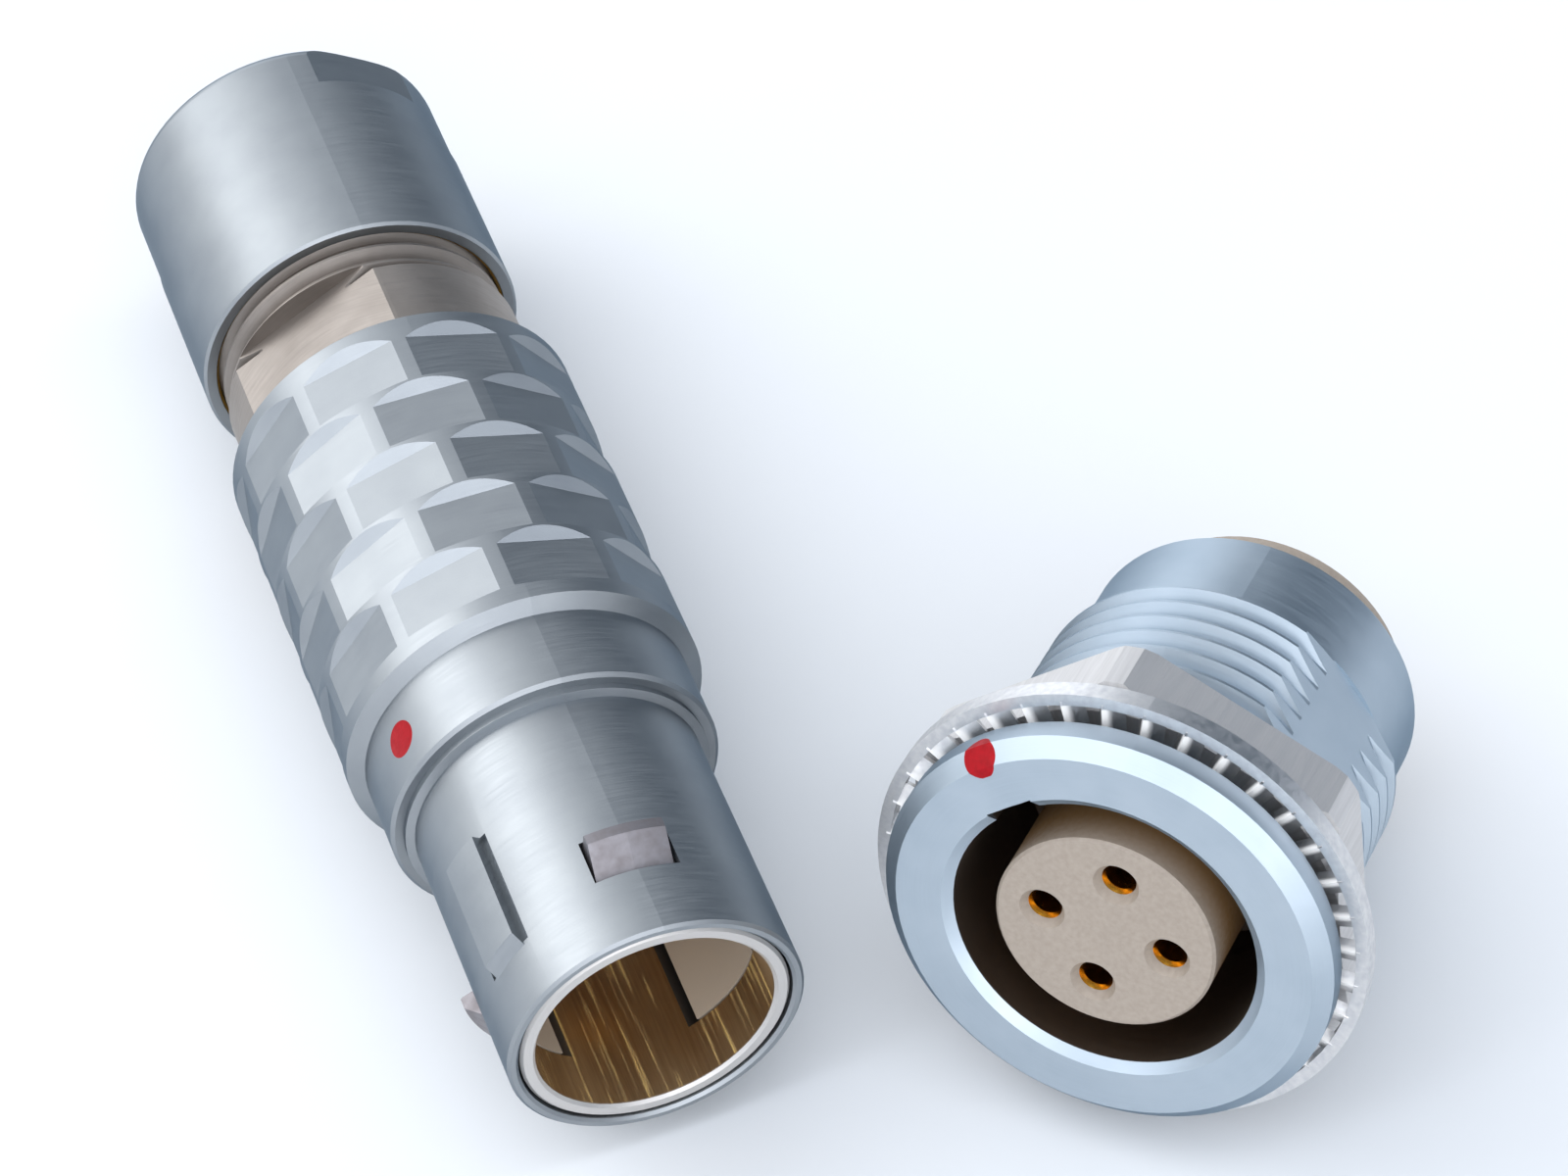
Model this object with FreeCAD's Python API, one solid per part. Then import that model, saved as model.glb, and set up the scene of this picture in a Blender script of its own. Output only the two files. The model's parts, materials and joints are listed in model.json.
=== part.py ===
import FreeCAD, Part
import math
import os

# A four-pin push-pull circular connector set, unmated: a cable plug with a sliding
# release sleeve, and a panel receptacle with its lock washer and hex nut.
# Both halves lie on the same flat surface. The plug axis runs along +Y and the origin
# is the centre of the plug's mouth, which faces -Y. +Z is up. Millimetres.
# Each half is made about its own local Z axis, with z = 0 at its mating end and +Z
# running to its rear, and is then laid down by one placement.

# Clearances
running_gap = 0.05          # radial gap of a piece that slides or turns on another
thread_gap = 0.05           # radial gap between a nut's bore and the thread crests
end_gap = 0.15              # axial spare length behind a piece that travels
edge_break = 0.12           # small chamfer on turned edges

# Plug: nose, which enters the receptacle
nose_r = 6.0
nose_wall = 0.45
nose_length = 12.1
liner_gap = 0.10            # radial gap between the nose and the liner
liner_wall = 0.61
bead_height = 0.35          # small ring where the nose meets the collar
bead_width = 0.2
bead_margin = 0.05          # from the bead to the collar's face

# Plug: collar
body_bore_step = 0.20       # the sleeve's bore over the latch sleeve, beyond the nose
body_wall = 0.65
collar_length = 3.55
collar_edge = 0.15
band_width = 0.4            # bright cone from the collar up to the grip

# Plug: faceted grip
grip_length = 16.45
skirt_gap = 0.25            # radial gap of the grip's rear skirt over the wrench flats
skirt_wall = 0.75
skirt_depth = 1.9
facet_rows = 5
facet_count = 10
facet_front_margin = 0.70
facet_rear_margin = 0.65
facet_depth = 0.28
facet_phase = -5.2          # of the middle of a flat, from the first latch hook
facet_ramp = 0.60           # axial length of the slope behind each flat
facet_front = 0.10          # axial length of the steep front wall of each flat
facet_side_spare = 0.02     # each flat's cutter is this much wider than its chord

# Plug: key
key_angle = -60.0
key_width = 2.0
key_height = 0.38
key_start = 2.45
key_length = 5.45
key_ramp = 0.55
key_root = 0.2              # how deep the key's foot is sunk in the nose
key_groove_width = 0.28
key_groove_depth = 0.32
key_groove_lead = 0.15      # the grooves start this far behind the key's front

# Plug: latch windows and latch fingers
latch_angles = (0.0, 120.0, -120.0)
window_start = 3.0
window_length = 2.0
window_width = 3.4
hook_height = 0.55          # how far a hook stands proud of the nose
hook_side_gap = 0.15
hook_front_gap = 0.03
hook_rear_gap = 0.10
hook_flat = 0.45
hook_edge = 0.05
finger_width = 4.1
finger_slot = 0.4
finger_lead = 0.4           # length of a finger in front of its window
finger_cut = 0.12           # thin cut across the free end of a finger
finger_root_margin = 1.1    # from a finger's root back to the collar
root_gap = 0.12
release_travel = 1.0

# Plug: latch sleeve behind the nose
core_step_margin = 0.5      # from the collar's face to the sleeve's inner shoulder
core_shoulder_gap = 0.2     # spare length behind the release travel
carrier_bore_step = 0.16    # the carrier's bore, beyond the liner's
back_thread_wall = 0.8
back_thread_depth = 0.5
back_thread_pitch = 1.0
back_thread_length = 6.8
wrench_step = 0.2           # the wrench section stands this far above the thread
wrench_overlap = 0.5        # length of the wrench section inside the skirt
wrench_length = 4.5
wrench_flat_lead = 1.1
wrench_flat_depth = 1.15
wrench_flat_run = 0.5       # the flats run this far into the thread
wrench_angle = -36.0

# Contacts, in both halves
contact_angles = (45.0, 135.0, 225.0, 315.0)
contact_margin = 0.95       # from a contact's lead-in to the insert's edge
lead_in_r = 0.92
lead_in_depth = 0.35
pin_r = 0.65
pin_nose = 0.6              # length of a pin's rounded tip
pin_reach = 5.5             # how far a pin stands out of its insert
pin_shank_r = 0.95
pin_shoulder_depth = 3.0
pin_tail = 3.5
cup_bore_r = 0.65
cup_depth = 2.6
cup_mouth = 1.8             # length of the opening in a solder cup's side
contact_wall = 0.28
contact_spring = 0.03       # a socket contact's bore is this much under the pin
contact_hole_gap = 0.04     # of the insert's front hole round the pin
contact_recess = 0.36
contact_entry = 0.13         # the flare at the contact's mouth
contact_entry_depth = 0.25
contact_bore_depth = 7.2
contact_collar_height = 0.15
contact_collar_length = 1.6
contact_tail = 2.5

# Plug: inside
mated_face_gap = 0.10       # between the two insert faces when the halves are mated
insert_edge = 0.12
insert_step_length = 1.2    # the insert's wide front, behind the sleeve's shoulder
insert_tail_length = 9.0
insert_tail_wall = 0.4      # outside the pins' shanks
carrier_lip = 0.4
carrier_length = 10.0
carrier_split = 0.1

# Plug: collet and back nut
nut_wall = 0.65
nut_front_gap = 0.25        # left in front of the nut when it is tight
nut_lip = 0.95
nut_exit_r = 4.6
nut_tail_step = 0.06        # the tail of the nut is turned this much smaller
nut_tail_length = 4.5
nut_rim = 0.55              # rounding of the rear rim
nut_flat_length = 2.4
nut_flat_depth = 0.5
nut_flat_angle = 28.0
tighten_travel = 1.75
collet_bore_r = 3.4
collet_front_gap = 0.25     # left in front of the collet when it is tight
collet_neck = 0.2           # from the end of the nut's thread to the collet's cone
collet_front_cone = 0.3
collet_cone_step = 0.65
collet_land = 0.8
collet_taper_length = 3.0
collet_taper = 0.8
collet_gap = 0.15
collet_slots = 6
collet_slot_width = 0.8
collet_slot_lead = 4.0
bite_count = 5              # gripping grooves in the collet's bore
bite_pitch = 1.2
bite_depth = 0.2

# Index dots
dot_r = 0.75
dot_depth = 0.3
plug_dot_place = 1.8        # behind the collar's face

# Receptacle shell
flange_step = 1.5           # the flange's radius, beyond the thread's
flange_depth = 1.6
bevel_width = 0.65
bevel_depth = 0.6
socket_gap = 0.10           # radial gap of the plug's nose in the receptacle
socket_end_gap = 0.10
entry_width = 0.4
entry_depth = 0.3
shank_wall = 0.32           # outside the latch groove, under the thread
shank_thread_pitch = 1.0
shank_thread_depth = 0.58
shank_relief = 0.6          # plain neck behind the flange
shank_tail = 4.0            # plain length behind the thread
shank_edge = 0.15
shank_flat_wall = 0.15      # outside the latch groove, at the shank's flats
keyway_angle = -41.0
keyway_gap = 0.05
latch_groove_gap = 0.05
latch_groove_front = 0.3
latch_groove_rear = 0.6
rear_bore_step = 0.2        # the shell is bored this much larger from the rear

# Receptacle inside
crown_clearance = 0.14      # from the crown to the plug's liner
crown_wall = 0.2
crown_gap = 0.08            # from the crown to the insert
crown_flange = 0.6
crown_reach = 3.0
crown_slots = 8
crown_slot_width = 0.5
insert_recess = 0.37
insert_flange = 1.6
ring_wall = 0.35
ring_length = 2.2
ring_margin = 0.6           # from the retaining ring to the shell's rear
rear_insert_reach = 1.85

# Lock washer and hex nut
washer_width = 2.4
washer_ring = 0.5
washer_thickness = 0.8
washer_front_gap = 0.35
tooth_count = 36
tooth_phase = 1.0
tooth_width = 0.9
tooth_thickness = 0.5
tooth_twist = 30.0
tooth_gap = 0.12
tooth_root = 0.15           # how far a tooth runs into the washer's ring
hex_wall = 1.0
hex_corner_cut = 0.215
hex_length = 3.0
hex_washer_gap = 0.08
hex_face_step = 0.1
hex_front_cone = 0.55
hex_rear_cone = 0.12
hex_phase = 49.0

# How the two halves lie
plug_roll = 7.4
receptacle_roll = 2.1
receptacle_heading = 46.5   # from +X to +Y, of the receptacle's rear
halves_overlap = 0.2        # of the plug's radius and the flange's, across the plug
receptacle_y = -4.8

# Plug radii, from the nose inwards and out to the grip
nose_bore_r = nose_r - nose_wall
liner_r = nose_bore_r - liner_gap
liner_bore_r = liner_r - liner_wall
carrier_bore_r = liner_bore_r + carrier_bore_step
carrier_r = carrier_bore_r - running_gap
body_bore_r = nose_r + body_bore_step
core_r = body_bore_r - running_gap
collar_r = body_bore_r + body_wall
back_thread_r = carrier_bore_r + back_thread_wall + back_thread_depth
wrench_r = back_thread_r + wrench_step
wrench_across = 2 * (wrench_r - wrench_flat_depth)
skirt_r = wrench_r + skirt_gap
grip_r = skirt_r + skirt_wall
nut_bore_r = back_thread_r + thread_gap
nut_r = nut_bore_r + nut_wall
nut_across = 2 * (nut_r - nut_flat_depth)
collet_cone_r = carrier_r + collet_cone_step
collet_tail_r = collet_cone_r - collet_taper
key_r = nose_r + key_height
hook_r = nose_r + hook_height

# Plug places, from the mouth to the rear
key_end = key_start + key_length
window_end = window_start + window_length
hook_rear = window_end - hook_rear_gap
finger_front = window_start - finger_lead
finger_root = nose_length - finger_root_margin
core_step = nose_length + core_step_margin
core_shoulder = core_step + release_travel + core_shoulder_gap
collar_end = nose_length + collar_length
grip_start = collar_end + band_width
grip_end = grip_start + grip_length
facet_start = grip_start + facet_front_margin
facet_pitch = (grip_length - facet_front_margin - facet_rear_margin) / facet_rows
plug_dot_z = nose_length + plug_dot_place
wrench_start = grip_end - wrench_overlap
wrench_flats_start = wrench_start + wrench_flat_lead
wrench_end = wrench_start + wrench_length
back_thread_end = wrench_end + back_thread_length
plug_face = nose_length - insert_recess + mated_face_gap
plug_insert_step = core_shoulder + insert_step_length
plug_insert_end = plug_insert_step + insert_tail_length
pin_tip = plug_face - pin_reach
pin_shoulder = plug_insert_step + pin_shoulder_depth
pin_end = plug_insert_end + pin_tail
carrier_end = plug_insert_end + carrier_length
collet_front = carrier_end + tighten_travel + collet_front_gap
collet_slot_start = collet_front + collet_slot_lead
nut_front = wrench_end + tighten_travel + nut_front_gap
nut_bore_end = back_thread_end + tighten_travel + end_gap
collet_cone_start = nut_bore_end + collet_neck
collet_tail = collet_cone_start + collet_land + collet_taper_length
nut_end = collet_tail + collet_gap + nut_lip
nut_tail_start = nut_end - nut_tail_length

# Receptacle radii
socket_r = nose_r + socket_gap
rear_bore_r = socket_r + rear_bore_step
inner_fit_r = rear_bore_r - running_gap
latch_groove_r = hook_r + latch_groove_gap
shank_r = latch_groove_r + shank_wall
shank_thread_r = shank_r + shank_thread_depth
shank_across = 2 * (latch_groove_r + shank_flat_wall)
flange_r = shank_thread_r + flange_step
face_r = flange_r - bevel_width
crown_r = liner_bore_r - crown_clearance - crown_wall
insert_r = crown_r - crown_gap
keyway_r = key_r + 2 * keyway_gap
washer_r = shank_thread_r + washer_width
hex_across = 2 * (shank_thread_r + hex_wall)
hex_corner_r = hex_across / 2 / math.cos(math.radians(30)) - hex_corner_cut
hex_face_r = hex_across / 2 + hex_face_step

# Receptacle places, from the face to the rear
socket_depth = nose_length + socket_end_gap
insert_flange_front = socket_depth + crown_flange
insert_flange_rear = insert_flange_front + insert_flange
shank_end = insert_flange_rear + ring_length + ring_margin
shank_thread_end = shank_end - shank_tail
rear_insert_end = shank_end + rear_insert_reach
washer_front = flange_depth + washer_front_gap
washer_rear = washer_front + washer_thickness
washer_mid = (washer_front + washer_rear) / 2
hex_front = washer_rear + hex_washer_gap
hex_rear = hex_front + hex_length

# Contact radii and places
pin_circle_r = insert_r - contact_margin - lead_in_r
plug_insert_tail_r = pin_circle_r + pin_shank_r + insert_tail_wall
carrier_cavity_r = plug_insert_tail_r + carrier_lip
contact_bore_r = pin_r - contact_spring
contact_r = contact_bore_r + contact_wall
contact_lip_r = pin_r + contact_hole_gap
contact_collar_r = contact_r + contact_collar_height
contact_front = insert_recess + contact_recess
contact_collar_front = insert_flange_rear - contact_collar_length / 2
contact_collar_rear = contact_collar_front + contact_collar_length

floor_z = -grip_r
receptacle_x = grip_r + flange_r - halves_overlap

cutter = 3.0                # how far a cutting tool reaches past the surface it opens
arc_steps = 6               # straight steps in a rounded edge


def ring(outer, inner, front, rear):
    """A plain tube between two planes."""
    axis_point = FreeCAD.Vector(0, 0, front)
    solid = Part.makeCylinder(outer, rear - front, axis_point)
    if inner > 0:
        solid = solid.cut(Part.makeCylinder(inner, rear - front, axis_point))
    return solid


def turned(outline):
    """A solid of revolution about Z from (radius, z) points."""
    points = [FreeCAD.Vector(r, 0, z) for r, z in outline]
    face = Part.Face(Part.makePolygon(points + points[:1]))
    return face.revolve(FreeCAD.Vector(0, 0, 0), FreeCAD.Vector(0, 0, 1), 360)


def turn(shape, angle):
    """A copy turned about Z, in degrees."""
    copy = shape.copy()
    copy.rotate(FreeCAD.Vector(0, 0, 0), FreeCAD.Vector(0, 0, 1), angle)
    return copy


def bar(inner, outer, width, front, rear, angle=0.0):
    """A box that points outwards from the axis: radial, tangential and axial sizes."""
    corner = FreeCAD.Vector(inner, -width / 2, front)
    return turn(Part.makeBox(outer - inner, width, rear - front, corner), angle)


def flats(across, reach, front, rear, angle):
    """The two blocks that leave a pair of wrench flats when they are cut away."""
    half = across / 2
    width = 2 * reach
    return [bar(half, reach, width, front, rear, angle + side) for side in (0, 180)]


def thread_outline(crest, depth, pitch, front, rear):
    """Points up a thread's flank line, as rings at the true pitch, from front to rear."""
    root = crest - depth
    flank = depth * math.tan(math.radians(30))
    points = [(root, front)]
    place = front + pitch / 8
    while place + 2 * flank + pitch / 8 < rear:
        points.append((root, place))
        points.append((crest, place + flank))
        points.append((crest, place + flank + pitch / 8))
        points.append((root, place + 2 * flank + pitch / 8))
        place += pitch
    points.append((root, rear))
    return points


def radial_plug(radius, inner, outer, z, angle):
    """A round plug that points outwards from the axis at one angle."""
    base = FreeCAD.Vector(inner, 0, z)
    return turn(Part.makeCylinder(radius, outer - inner, base, FreeCAD.Vector(1, 0, 0)), angle)


def facet_cutters():
    """The wedges that leave the staggered rows of flats round the grip."""
    flat_r = grip_r - facet_depth
    half_width = math.sqrt(grip_r ** 2 - flat_r ** 2) + facet_side_spare
    tools = []
    for row in range(facet_rows):
        front = facet_start + row * facet_pitch
        rear = front + facet_pitch
        rise = facet_depth / facet_ramp
        outline = [
            (flat_r, front + facet_front),
            (flat_r, rear - facet_ramp),
            (grip_r + cutter, rear + cutter / rise),
            (grip_r + cutter, front),
            (grip_r, front),
        ]
        points = [FreeCAD.Vector(r, -half_width, z) for r, z in outline]
        face = Part.Face(Part.makePolygon(points + points[:1]))
        wedge = face.extrude(FreeCAD.Vector(0, 2 * half_width, 0))
        step = 360.0 / facet_count
        stagger = facet_phase + (step / 2 if row % 2 == 0 else 0.0)
        for index in range(facet_count):
            tools.append(turn(wedge, stagger + index * step))
    return tools


def make_outer_shell():
    """The release sleeve: nose, collar and faceted grip in one turned piece."""
    bead_r = nose_r + bead_height
    bead_front = nose_length - bead_width - bead_margin
    outline = [
        (nose_bore_r, edge_break),
        (nose_bore_r + edge_break, 0),
        (nose_r - edge_break, 0),
        (nose_r, edge_break),
        (nose_r, bead_front - edge_break),
        (bead_r, bead_front),
        (bead_r, nose_length),
        (collar_r - collar_edge, nose_length),
        (collar_r, nose_length + collar_edge),
        (collar_r, collar_end),
        (grip_r, grip_start),
        (grip_r, grip_end - edge_break),
        (grip_r - edge_break, grip_end),
        (skirt_r, grip_end),
        (skirt_r, grip_end - skirt_depth),
        (body_bore_r, grip_end - skirt_depth),
        (body_bore_r, core_step),
        (nose_bore_r, core_step),
    ]
    shell = turned(outline)
    rib = turned([
        (nose_r - key_root, key_start),
        (nose_r, key_start),
        (key_r, key_start + key_ramp),
        (key_r, key_end),
        (nose_r - key_root, key_end),
    ])
    key = rib.common(bar(0, key_r + 1, key_width, key_start, key_end, key_angle))
    shell = shell.fuse(key).removeSplitter()
    tools = facet_cutters()
    for angle in latch_angles:
        tools.append(bar(liner_r - cutter, nose_r + cutter, window_width,
                         window_start, window_end, angle))
    groove_offset = key_width / 2 + key_groove_width / 2
    for side in (-1, 1):
        corner = FreeCAD.Vector(nose_r - key_groove_depth,
                                side * groove_offset - key_groove_width / 2,
                                key_start + key_groove_lead)
        groove = Part.makeBox(cutter, key_groove_width, key_length - key_groove_lead, corner)
        tools.append(turn(groove, key_angle))
    tools.append(radial_plug(dot_r, collar_r - dot_depth, collar_r + 1, plug_dot_z, key_angle))
    return shell.cut(tools)


def make_plug_dot():
    """The painted index mark, flush with the collar."""
    mark = radial_plug(dot_r, collar_r - dot_depth, collar_r + 1, plug_dot_z, key_angle)
    return mark.common(ring(collar_r, 0, plug_dot_z - 2 * dot_r, plug_dot_z + 2 * dot_r))


def make_latch_sleeve():
    """The inner body: liner with finger slots, core, wrench flats and rear thread."""
    front = edge_break
    outline = [
        (liner_bore_r, front + edge_break),
        (liner_bore_r + edge_break, front),
        (liner_r - edge_break, front),
        (liner_r, front + edge_break),
        (liner_r, core_shoulder),
        (core_r, core_shoulder),
        (core_r, wrench_start),
        (wrench_r, wrench_start),
        (wrench_r, wrench_end),
    ]
    outline += thread_outline(back_thread_r, back_thread_depth, back_thread_pitch,
                              wrench_end, back_thread_end)
    outline += [
        (carrier_bore_r, back_thread_end),
        (carrier_bore_r, plug_insert_step),
        (liner_bore_r, plug_insert_step),
    ]
    sleeve = turned(outline)
    tools = flats(wrench_across, wrench_r + cutter, wrench_flats_start,
                  wrench_end + wrench_flat_run, wrench_angle)
    for angle in latch_angles:
        tools.append(bar(liner_bore_r - cutter, liner_r + cutter, finger_width + 2 * finger_slot,
                         finger_front, finger_root + root_gap, angle))
    return sleeve.cut(tools)


def make_latch_finger(angle):
    """One springy finger of the latch sleeve, with its wedge-shaped hook."""
    free_end = finger_front + finger_cut
    blade = ring(liner_r, liner_bore_r, free_end, finger_root)
    blade = blade.common(bar(0, liner_r + 1, finger_width, free_end, finger_root))
    hook_front = window_start + hook_front_gap
    foot_r = liner_r - liner_wall / 2
    wedge = turned([
        (foot_r, hook_front),
        (liner_r, hook_front),
        (hook_r, hook_rear - hook_edge - hook_flat),
        (hook_r, hook_rear - hook_edge),
        (hook_r - 2 * hook_edge, hook_rear),
        (foot_r, hook_rear),
    ])
    hook_width = window_width - 2 * hook_side_gap
    hook = wedge.common(bar(0, hook_r + 1, hook_width, hook_front, hook_rear))
    return turn(blade.fuse(hook).removeSplitter(), angle)


def contact_holes(steps):
    """Four stepped holes on the contact circle, from (radius, front, rear) steps."""
    tools = []
    for angle in contact_angles:
        for radius, front, rear in steps:
            hole = ring(radius, 0, front, rear)
            hole.translate(FreeCAD.Vector(pin_circle_r, 0, 0))
            tools.append(turn(hole, angle))
    return tools


def make_plug_insulator():
    """The moulded insert that carries the pins."""
    body = turned([
        (0, plug_face),
        (liner_bore_r - running_gap - insert_edge, plug_face),
        (liner_bore_r - running_gap, plug_face + insert_edge),
        (liner_bore_r - running_gap, plug_insert_step),
        (plug_insert_tail_r, plug_insert_step),
        (plug_insert_tail_r, plug_insert_end),
        (0, plug_insert_end),
    ])
    return body.cut(contact_holes([
        (pin_r, plug_face - 1, pin_shoulder),
        (pin_shank_r, pin_shoulder, plug_insert_end + 1),
    ]))


def make_pin(place_angle):
    """A round-nosed pin with a solder cup at its rear."""
    outline = []
    for step in range(arc_steps + 1):
        angle = math.radians(90 * step / arc_steps)
        outline.append((pin_r * math.sin(angle), pin_tip + pin_nose * (1 - math.cos(angle))))
    pin = turned(outline + [
        (pin_r, pin_shoulder),
        (pin_shank_r, pin_shoulder),
        (pin_shank_r, pin_end),
        (cup_bore_r, pin_end),
        (cup_bore_r, pin_end - cup_depth),
        (0, pin_end - cup_depth),
    ])
    pin = pin.cut(bar(0, cutter, 2 * cup_bore_r, pin_end - cup_mouth, pin_end + cutter))
    pin.translate(FreeCAD.Vector(pin_circle_r, 0, 0))
    return turn(pin, place_angle)


def make_insert_carrier(side):
    """Half of the split metal cage that clamps the insert inside the latch sleeve."""
    cage = turned([
        (plug_insert_tail_r, plug_insert_step),
        (carrier_r, plug_insert_step),
        (carrier_r, carrier_end),
        (carrier_cavity_r, carrier_end),
        (carrier_cavity_r, plug_insert_end),
        (plug_insert_tail_r, plug_insert_end),
    ])
    reach = carrier_r + 1
    start = carrier_split / 2
    return cage.common(bar(start, reach, 2 * reach, plug_insert_step, carrier_end, side))


def make_collet():
    """The slotted clamp that closes on the cable as the back nut is tightened."""
    body = turned([
        (collet_bore_r, collet_front),
        (carrier_r, collet_front),
        (carrier_r, collet_cone_start - collet_front_cone),
        (collet_cone_r, collet_cone_start),
        (collet_cone_r, collet_cone_start + collet_land),
        (collet_tail_r, collet_tail),
        (collet_bore_r, collet_tail),
    ])
    tools = []
    for index in range(collet_slots):
        tools.append(bar(0, collet_cone_r + 1, collet_slot_width,
                         collet_slot_start, collet_tail + 1, index * 360.0 / collet_slots))
    bite_start = collet_tail - bite_count * bite_pitch
    for index in range(bite_count):
        start = bite_start + index * bite_pitch
        tools.append(turned([
            (collet_bore_r - bite_depth, start),
            (collet_bore_r, start),
            (collet_bore_r + bite_depth, start + bite_pitch / 4),
            (collet_bore_r, start + bite_pitch / 2),
            (collet_bore_r - bite_depth, start + bite_pitch / 2),
        ]))
    return body.cut(tools)


def make_collet_nut():
    """The back nut: smooth barrel, coned seat for the collet and flats at its rear."""
    cone_r = collet_cone_r + collet_gap
    cone_start = collet_cone_start + collet_land + collet_gap
    seat = collet_tail + collet_gap
    tail_r = nut_r - nut_tail_step
    outline = [
        (nut_bore_r, nut_front + edge_break),
        (nut_bore_r + edge_break, nut_front),
        (nut_r - edge_break, nut_front),
        (nut_r, nut_front + edge_break),
        (nut_r, nut_tail_start),
        (tail_r, nut_tail_start + nut_tail_step),
    ]
    for step in range(arc_steps + 1):
        angle = math.radians(90 * step / arc_steps)
        outline.append((tail_r - nut_rim + nut_rim * math.cos(angle),
                        nut_end - nut_rim + nut_rim * math.sin(angle)))
    outline += [
        (nut_exit_r, nut_end),
        (nut_exit_r, seat),
        (collet_tail_r + collet_gap, seat),
        (cone_r, cone_start),
        (cone_r, nut_bore_end),
        (nut_bore_r, nut_bore_end),
    ]
    nut = turned(outline)
    return nut.cut(flats(nut_across, nut_r + cutter, nut_end - nut_flat_length, nut_end + 1,
                         nut_flat_angle))


def receptacle_dot_plug():
    """The slanted round recess for the index mark, on the flange's bevel."""
    slope = math.radians(45)
    middle_r = (face_r + flange_r) / 2
    middle_z = bevel_depth / 2
    axis = FreeCAD.Vector(math.sin(slope), 0, -math.cos(slope))
    base = FreeCAD.Vector(middle_r, 0, middle_z) - axis * dot_depth
    return turn(Part.makeCylinder(dot_r, 2, base, axis), keyway_angle)


def flange_outline():
    """The outside of the flange, from the face to its rear."""
    return [
        (face_r, 0),
        (flange_r, bevel_depth),
        (flange_r, flange_depth - edge_break),
        (flange_r - edge_break, flange_depth),
    ]


def make_receptacle_shell():
    """Flange, keyed socket with its latch groove, threaded shank and plain tail."""
    groove_front = nose_length - hook_rear - latch_groove_front
    groove_rear = nose_length - window_start + latch_groove_rear
    neck_end = flange_depth + shank_relief
    outline = [(socket_r + entry_width, 0)] + flange_outline()
    outline.append((shank_r, flange_depth))
    outline += thread_outline(shank_thread_r, shank_thread_depth, shank_thread_pitch,
                              neck_end, shank_thread_end)[1:]
    outline += [
        (shank_r, shank_end - shank_edge),
        (shank_r - shank_edge, shank_end),
        (rear_bore_r, shank_end),
        (rear_bore_r, socket_depth),
        (socket_r, socket_depth),
        (socket_r, groove_rear),
        (latch_groove_r, groove_rear - (latch_groove_r - socket_r)),
        (latch_groove_r, groove_front),
        (socket_r, groove_front),
        (socket_r, entry_depth),
    ]
    shell = turned(outline)
    tools = flats(shank_across, shank_thread_r + cutter, flange_depth, shank_thread_end,
                  keyway_angle + 90)
    tools.append(bar(0, keyway_r, key_width + 2 * keyway_gap, -1, socket_depth, keyway_angle))
    tools.append(receptacle_dot_plug())
    return shell.cut(tools)


def make_receptacle_dot():
    """The painted index mark, flush with the flange's bevel."""
    blank = turned([(face_r - 2, 0)] + flange_outline() + [(face_r - 2, flange_depth)])
    return receptacle_dot_plug().common(blank)


def make_earthing_crown():
    """Thin sprung crown that touches the inside of the plug's liner."""
    crown = turned([
        (crown_r, socket_depth - crown_reach),
        (crown_r + crown_wall, socket_depth - crown_reach),
        (crown_r + crown_wall, socket_depth),
        (inner_fit_r, socket_depth),
        (inner_fit_r, insert_flange_front),
        (crown_r, insert_flange_front),
    ])
    tools = []
    for index in range(crown_slots):
        tools.append(bar(0, crown_r + 1, crown_slot_width, socket_depth - crown_reach - 1,
                         socket_depth, index * 360.0 / crown_slots))
    return crown.cut(tools)


def make_receptacle_insulator():
    """The front insert, whose round face shows in the socket."""
    body = turned([
        (0, insert_recess),
        (insert_r - insert_edge, insert_recess),
        (insert_r, insert_recess + insert_edge),
        (insert_r, insert_flange_front),
        (inner_fit_r, insert_flange_front),
        (inner_fit_r, insert_flange_rear),
        (0, insert_flange_rear),
    ])
    tools = contact_holes([
        (contact_lip_r, insert_recess - 1, contact_front),
        (contact_r, contact_front, contact_collar_front),
        (contact_collar_r, contact_collar_front, insert_flange_rear + 1),
    ])
    lead_in = turned([
        (0, insert_recess - lead_in_depth),
        (lead_in_r, insert_recess - lead_in_depth),
        (lead_in_r, insert_recess),
        (contact_lip_r, insert_recess + lead_in_depth),
        (0, insert_recess + lead_in_depth),
    ])
    lead_in.translate(FreeCAD.Vector(pin_circle_r, 0, 0))
    tools += [turn(lead_in, angle) for angle in contact_angles]
    return turn(body.cut(tools), keyway_angle)


def make_rear_insulator():
    """The rear insert, which traps the contact collars and stands out of the tail."""
    outer = rear_bore_r - ring_wall - 2 * running_gap
    body = turned([
        (0, insert_flange_rear),
        (outer, insert_flange_rear),
        (outer, rear_insert_end - 2 * insert_edge),
        (outer - 2 * insert_edge, rear_insert_end),
        (0, rear_insert_end),
    ])
    return turn(body.cut(contact_holes([
        (contact_collar_r, insert_flange_rear - 1, contact_collar_rear),
        (contact_r, contact_collar_rear, rear_insert_end + 1),
    ])), keyway_angle)


def make_retaining_ring():
    """The ring pressed in behind the front insert."""
    bore = rear_bore_r - ring_wall
    return ring(rear_bore_r, bore, insert_flange_rear, insert_flange_rear + ring_length)


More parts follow.
